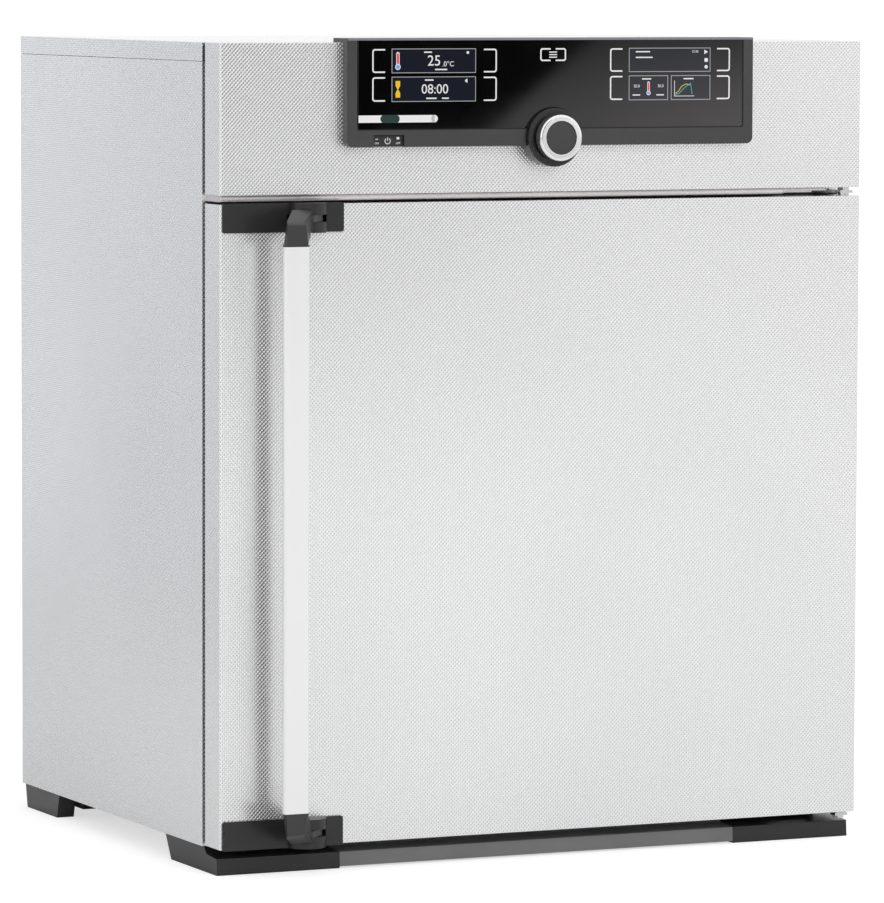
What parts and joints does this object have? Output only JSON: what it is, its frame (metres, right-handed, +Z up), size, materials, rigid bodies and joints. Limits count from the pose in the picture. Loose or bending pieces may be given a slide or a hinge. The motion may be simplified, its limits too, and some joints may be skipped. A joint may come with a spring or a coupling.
{
  "type": "cooled incubator",
  "caption": "Bench-top cooled incubator: insulated steel cabinet with hinged door, bar handle, glass inner door, wire shelves, turn-and-push control panel and rear cooling module.",
  "frame": {"origin": "on the floor under the middle of the outer box", "axes": "+Z up, +X to the right as seen from the front, +Y to the back, away from the door"},
  "size_m": [0.745, 0.73, 0.8685],
  "materials": {
    "textured_steel": "satin",
    "stainless": "satin",
    "galvanised": "satin",
    "trim_metal": "satin",
    "bar_silver": "satin",
    "hinge_metal": "gloss",
    "fastener": "satin",
    "black_plastic": "matte",
    "foot_plastic": "matte",
    "bar_grey": "matte",
    "bezel_plastic": "matte",
    "panel_glass": "gloss",
    "screen": "gloss",
    "knob_chrome": "gloss",
    "knob_grey": "matte",
    "clear_glass": "gloss",
    "silicone": "matte",
    "insulation": "matte",
    "heat_sink": "satin",
    "ceramic": "matte",
    "circuit": "satin",
    "case_metal": "satin",
    "fan_plastic": "satin",
    "inlet_plastic": "satin"
  },
  "bodies": {
    "cabinet": {"side_panel_left": "textured_steel", "side_panel_right": "textured_steel", "top_cover": "textured_steel", "base_pan": "galvanised", "front_plate": "stainless", "rear_panel": "galvanised", "front_edge_profile": "black_plastic", "inner_chamber": "stainless", "chamber_insulation": "insulation", "electronics_tray": "galvanised", "power_supply": "case_metal", "control_board": "circuit", "fascia_panel": "textured_steel", "fascia_carrier": "black_plastic", "fascia_trim_strip": "trim_metal", "cockpit_bezel": "bezel_plastic", "cockpit_glass": "panel_glass", "display_left": "screen", "display_right": "screen", "knob_base": "bezel_plastic", "control_housings": "black_plastic", "glass_seal": "silicone", "glass_hinge_brackets": "stainless", "air_baffle": "stainless", "temperature_probe": "stainless", "cold_side_heat_sink": "heat_sink", "peltier_modules": "ceramic", "hot_side_heat_sink": "heat_sink", "circulation_motor": "case_metal", "rear_housing": "galvanised", "exhaust_fan_frames": "fan_plastic", "power_inlet": "inlet_plastic", "front_feet": "foot_plastic", "front_bar": "bar_grey", "rear_feet": "foot_plastic", "rear_cross_bar": "foot_plastic", "hinge_arms": "hinge_metal", "hinge_pins": "hinge_metal", "latch_keepers": "stainless", "fixing_screws": "fastener"},
    "outer_door": {"door_shell": "textured_steel", "door_inner_panel": "stainless", "door_insulation": "insulation", "door_seal": "silicone", "door_hinge_blocks": "black_plastic", "handle_brackets": "black_plastic", "handle_pivot_pins": "fastener"},
    "door_handle": {"handle_bar": "bar_silver", "handle_arms": "black_plastic"},
    "glass_door": {"glass_pane": "clear_glass", "glass_fittings": "stainless"},
    "knob_plunger": {"encoder_plunger": "fastener"},
    "control_knob": {"knob_ring": "knob_chrome", "knob_face": "knob_grey"},
    "power_button": {"power_button": "bezel_plastic"},
    "lower_shelf": {"shelf_lower": "stainless"},
    "upper_shelf": {"shelf_upper": "stainless"},
    "circulation_fan": {"circulation_fan_rotor": "stainless"},
    "exhaust_fan_left": {"exhaust_fan_rotor_left": "fan_plastic"},
    "exhaust_fan_right": {"exhaust_fan_rotor_right": "fan_plastic"}
  },
  "joints": [
    {"name": "door_hinge", "type": "hinge", "parent": "cabinet", "child": "outer_door", "pos_m": [0.3605, -0.294, 0.36325], "axis": [0, 0, 1], "range_deg": [0, 125]},
    {"name": "handle_turn", "type": "hinge", "parent": "outer_door", "child": "door_handle", "pos_m": [-0.275, -0.309, 0.36325], "axis": [0, 0, 1], "range_deg": [0, 45]},
    {"name": "glass_door_hinge", "type": "hinge", "parent": "cabinet", "child": "glass_door", "pos_m": [0.3, -0.2648, 0.36325], "axis": [0, 0, 1], "range_deg": [0, 100]},
    {"name": "lower_shelf_slide", "type": "slide", "parent": "cabinet", "child": "lower_shelf", "axis": [0, -1, 0], "range_m": [0, 0.1]},
    {"name": "upper_shelf_slide", "type": "slide", "parent": "cabinet", "child": "upper_shelf", "axis": [0, -1, 0], "range_m": [0, 0.1]},
    {"name": "knob_push", "type": "slide", "parent": "cabinet", "child": "knob_plunger", "axis": [0, 1, 0], "range_m": [0, 0.0015], "stiffness_N_per_m": 800},
    {"name": "knob_turn", "type": "hinge", "parent": "knob_plunger", "child": "control_knob", "pos_m": [0, -0.335, 0.7643], "axis": [0, -1, 0], "continuous": true},
    {"name": "power_button_push", "type": "slide", "parent": "cabinet", "child": "power_button", "axis": [0, 1, 0], "range_m": [0, 0.003], "stiffness_N_per_m": 800},
    {"name": "circulation_fan_spin", "type": "hinge", "parent": "cabinet", "child": "circulation_fan", "pos_m": [0, 0.1162, 0.36325], "axis": [0, -1, 0], "continuous": true},
    {"name": "exhaust_fan_left_spin", "type": "hinge", "parent": "cabinet", "child": "exhaust_fan_left", "pos_m": [-0.08, 0.3525, 0.36325], "axis": [0, 1, 0], "continuous": true},
    {"name": "exhaust_fan_right_spin", "type": "hinge", "parent": "cabinet", "child": "exhaust_fan_right", "pos_m": [0.08, 0.3525, 0.36325], "axis": [0, 1, 0], "continuous": true}
  ],
  "couplings": [
    {"joint": "glass_door_hinge", "follows": "door_hinge", "ratio": 0.8},
    {"joint": "lower_shelf_slide", "follows": "door_hinge", "m_per_rad": 0.04583},
    {"joint": "upper_shelf_slide", "follows": "door_hinge", "m_per_rad": 0.04583}
  ]
}
